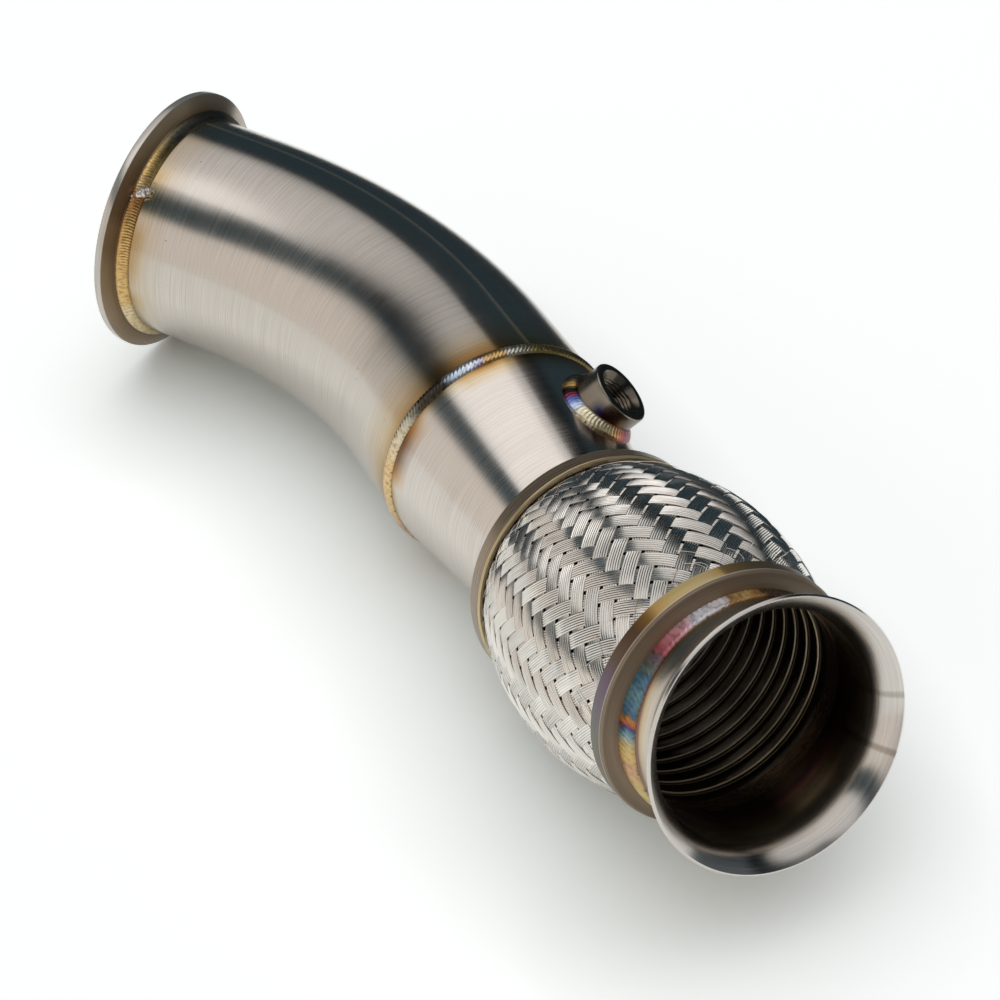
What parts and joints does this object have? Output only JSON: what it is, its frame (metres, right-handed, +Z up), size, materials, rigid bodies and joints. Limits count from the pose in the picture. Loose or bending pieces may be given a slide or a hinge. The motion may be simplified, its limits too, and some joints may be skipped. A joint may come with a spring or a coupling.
{
  "type": "turbo downpipe",
  "caption": "Stainless steel turbo downpipe with a V-band inlet flange, a bend, a cone with a sensor bung, a braided flex section and a flared outlet.",
  "frame": {"origin": "middle of the bounding box's base, on the surface that the pipe lies on", "axes": "+X along the cone from the inlet towards the outlet, +Y towards the side that carries the bungs, +Z up"},
  "size_m": [0.4788, 0.1758, 0.1311],
  "materials": {
    "brushed_stainless": "brushed stainless tube, pale straw tint beside the welds",
    "machined_stainless": "machined stainless, olive-gold tint on the back face",
    "tig_weld": "TIG bead, fine ripples, straw to blue heat colours",
    "tinted_stainless": "heat-tinted stainless, brown to gold",
    "braided_wire": "woven flat strands of bright stainless wire",
    "bung_stainless": "turned stainless, slightly heat-marked",
    "liner_stainless": "interlocked strip, dark inside",
    "bellows_stainless": "thin formed stainless sheet"
  },
  "bodies": {
    "root": {"inlet_vband_flange": "machined_stainless", "inlet_flange_weld": "tig_weld", "bend_pipe": "brushed_stainless", "mid_weld": "tig_weld", "transition_cone": "brushed_stainless", "front_sensor_bung": "bung_stainless", "front_bung_weld": "tig_weld", "rear_sensor_bung": "bung_stainless", "rear_bung_weld": "tig_weld", "upper_collar_weld": "tig_weld", "upper_collar": "tinted_stainless", "flex_braid": "braided_wire", "flex_bellows": "bellows_stainless", "flex_liner": "liner_stainless", "lower_collar": "tinted_stainless", "lower_sleeve": "tinted_stainless", "outlet_weld": "tig_weld", "outlet_flare": "brushed_stainless"}
  },
  "joints": []
}
